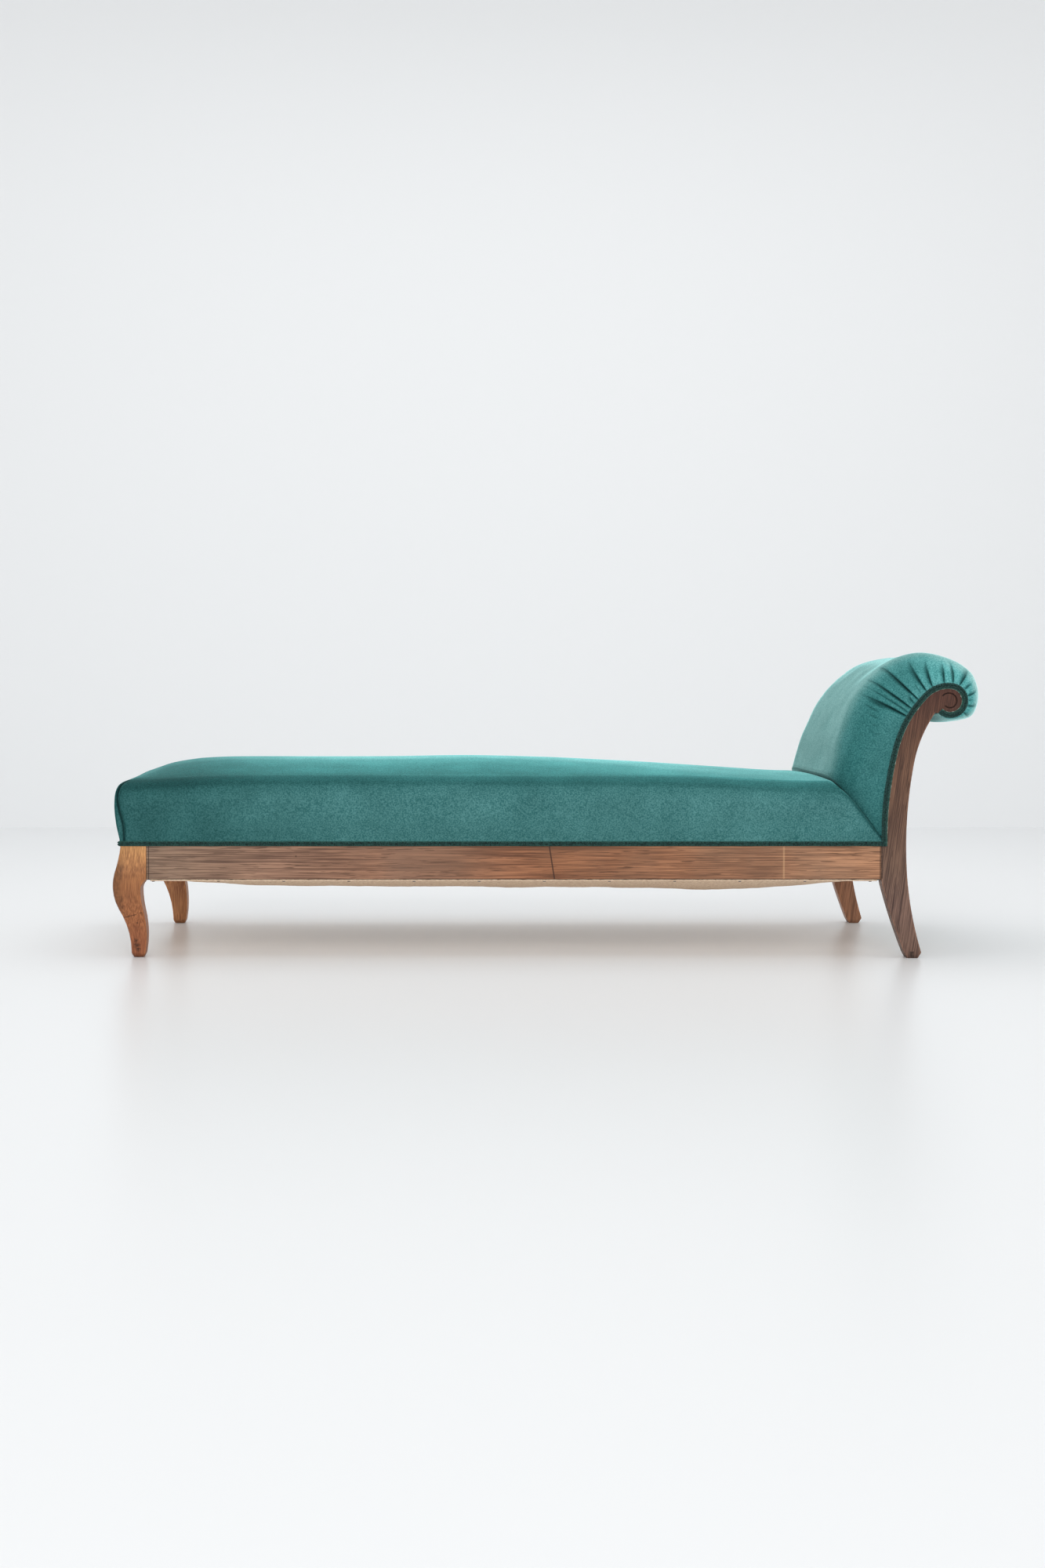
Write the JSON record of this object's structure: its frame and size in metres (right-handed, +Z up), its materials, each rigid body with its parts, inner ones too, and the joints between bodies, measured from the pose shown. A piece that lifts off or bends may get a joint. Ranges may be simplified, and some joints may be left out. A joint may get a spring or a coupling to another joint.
{
  "type": "fainting couch",
  "caption": "Low upholstered couch with a scrolled headrest at one end, a sprung velvet seat, bare wooden rails, curved foot legs and plank head stiles.",
  "frame": {"origin": "on the floor, under the middle of the couch", "axes": "+X along the couch toward the headrest, +Y across it toward the far long side, +Z up"},
  "size_m": [1.9061, 0.6886, 0.6576],
  "materials": {
    "walnut": "satin",
    "beech": "matte",
    "teal_velvet": "matte",
    "green_gimp": "matte",
    "hessian": "matte",
    "webbing": "matte",
    "stuffing": "matte",
    "twine": "matte",
    "spring_steel": "satin",
    "screw_steel": "satin",
    "blued_iron": "satin"
  },
  "bodies": {
    "root": {"near_seat_rail": "walnut", "far_seat_rail": "walnut", "foot_end_rail": "walnut", "head_end_rail": "walnut", "tuck_rail": "beech", "upper_back_rail": "beech", "scroll_rail": "beech", "near_foot_leg": "walnut", "far_foot_leg": "walnut", "near_head_stile": "walnut", "far_head_stile": "walnut", "cross_brace": "beech", "corner_blocks": "beech", "corner_block_screws": "screw_steel", "seat_webbing_cross": "webbing", "seat_webbing_long": "webbing", "seat_springs": "spring_steel", "lashing_twine": "twine", "spring_hessian": "hessian", "seat_stuffing": "stuffing", "seat_cover": "teal_velvet", "head_webbing": "webbing", "head_hessian": "hessian", "head_stuffing": "stuffing", "head_cover": "teal_velvet", "outside_back_cover": "teal_velvet", "bottom_hessian": "hessian", "bottom_tacks": "blued_iron", "gimp_near_rail": "green_gimp", "gimp_far_rail": "green_gimp", "gimp_foot_end": "green_gimp", "gimp_near_stile": "green_gimp", "gimp_far_stile": "green_gimp", "gimp_outside_back": "green_gimp"}
  },
  "joints": []
}
